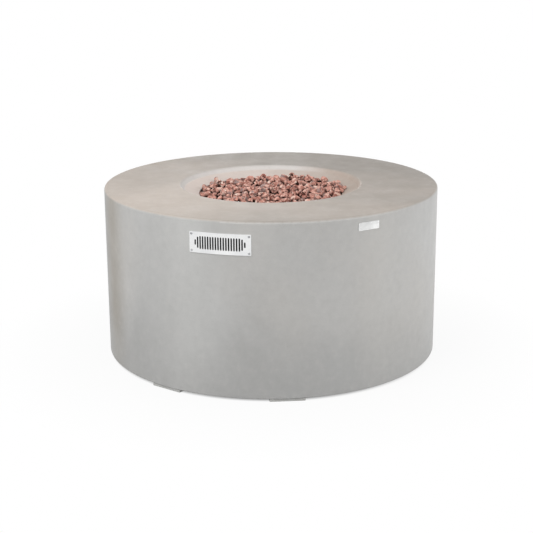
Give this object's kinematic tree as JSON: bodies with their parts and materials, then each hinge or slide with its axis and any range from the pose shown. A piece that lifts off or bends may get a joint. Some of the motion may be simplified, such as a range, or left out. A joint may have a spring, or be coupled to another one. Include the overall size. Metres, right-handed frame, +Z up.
{
  "type": "fire pit table",
  "caption": "Round cast concrete gas fire pit table: dished bowl of lava rock over a ring burner, slotted vents in the wall, low flat feet, and a knob and igniter at the back.",
  "frame": {"origin": "on the ground, under the centre of the round table", "axes": "+Z up, the front vent faces -Y, the nameplate is 48 degrees from it towards +X"},
  "size_m": [0.9999, 1.003, 0.51],
  "materials": {
    "cast_concrete": "smooth cast, matte",
    "brushed_stainless": "brushed",
    "plate_steel": "satin",
    "pan_steel": "mill finish, heat tinted",
    "burner_steel": "heat tinted",
    "screw_steel": "satin",
    "foot_rubber": "matte",
    "brass": "machined",
    "elbow_iron": "cast",
    "zinc_steel": "zinc plated",
    "tube_aluminium": "drawn",
    "valve_aluminium": "die cast",
    "knob_black": "fine grain",
    "bezel_chrome": "polished",
    "igniter_plastic": "satin",
    "battery_shell": "satin",
    "ceramic_white": "glazed",
    "probe_steel": "heat tinted",
    "lead_silicone": "silicone",
    "lead_copper": "drawn copper",
    "lava_rock": "rough broken, reddish brown",
    "button_black": "gloss"
  },
  "bodies": {
    "table": {"table_body": "cast_concrete", "front_vent_plate": "brushed_stainless", "rear_vent_plate": "brushed_stainless", "control_panel": "brushed_stainless", "nameplate": "plate_steel", "burner_pan": "pan_steel", "ignition_guard": "pan_steel", "burner_ring": "burner_steel", "front_vent_screws": "screw_steel", "rear_vent_screws": "screw_steel", "foot_screws": "screw_steel", "pan_screws": "screw_steel", "valve_screws": "screw_steel", "panel_screws": "screw_steel", "burner_nut": "screw_steel", "igniter_nut": "screw_steel", "foot_front_left": "foot_rubber", "foot_front_right": "foot_rubber", "foot_rear_right": "foot_rubber", "foot_rear_left": "foot_rubber", "injector": "brass", "injector_flare_nut": "brass", "outlet_flare_nut": "brass", "gas_inlet": "brass", "thermocouple_nut": "brass", "burner_elbow": "elbow_iron", "air_mixer": "zinc_steel", "gas_tube": "tube_aluminium", "gas_valve": "valve_aluminium", "valve_cap": "valve_aluminium", "knob_bezel": "bezel_chrome", "igniter_housing": "igniter_plastic", "igniter_battery": "battery_shell", "spark_electrode": "ceramic_white", "thermocouple": "probe_steel", "electrode_lead": "lead_silicone", "thermocouple_lead": "lead_copper", "lava_rocks": "lava_rock", "lava_rocks_lower": "lava_rock"},
    "plug": {"valve_plug": "brass"},
    "knob": {"control_knob": "knob_black", "valve_stem": "zinc_steel"},
    "button": {"igniter_button": "button_black"}
  },
  "joints": [
    {"name": "knob_turn", "type": "hinge", "parent": "table", "child": "plug", "pos_m": [-0.34808, 0.34571, 0.33], "axis": [-0.7431, 0.6691, 0], "range_deg": [0, 180]},
    {"name": "knob_push", "type": "slide", "parent": "plug", "child": "knob", "axis": [0.7431, -0.6691, 0], "range_m": [0, 0.004], "stiffness_N_per_m": 1500, "springref_m": -0.004},
    {"name": "button_push", "type": "slide", "parent": "table", "child": "button", "axis": [0.7431, -0.6691, 0], "range_m": [0, 0.003], "stiffness_N_per_m": 1000, "springref_m": -0.003}
  ]
}
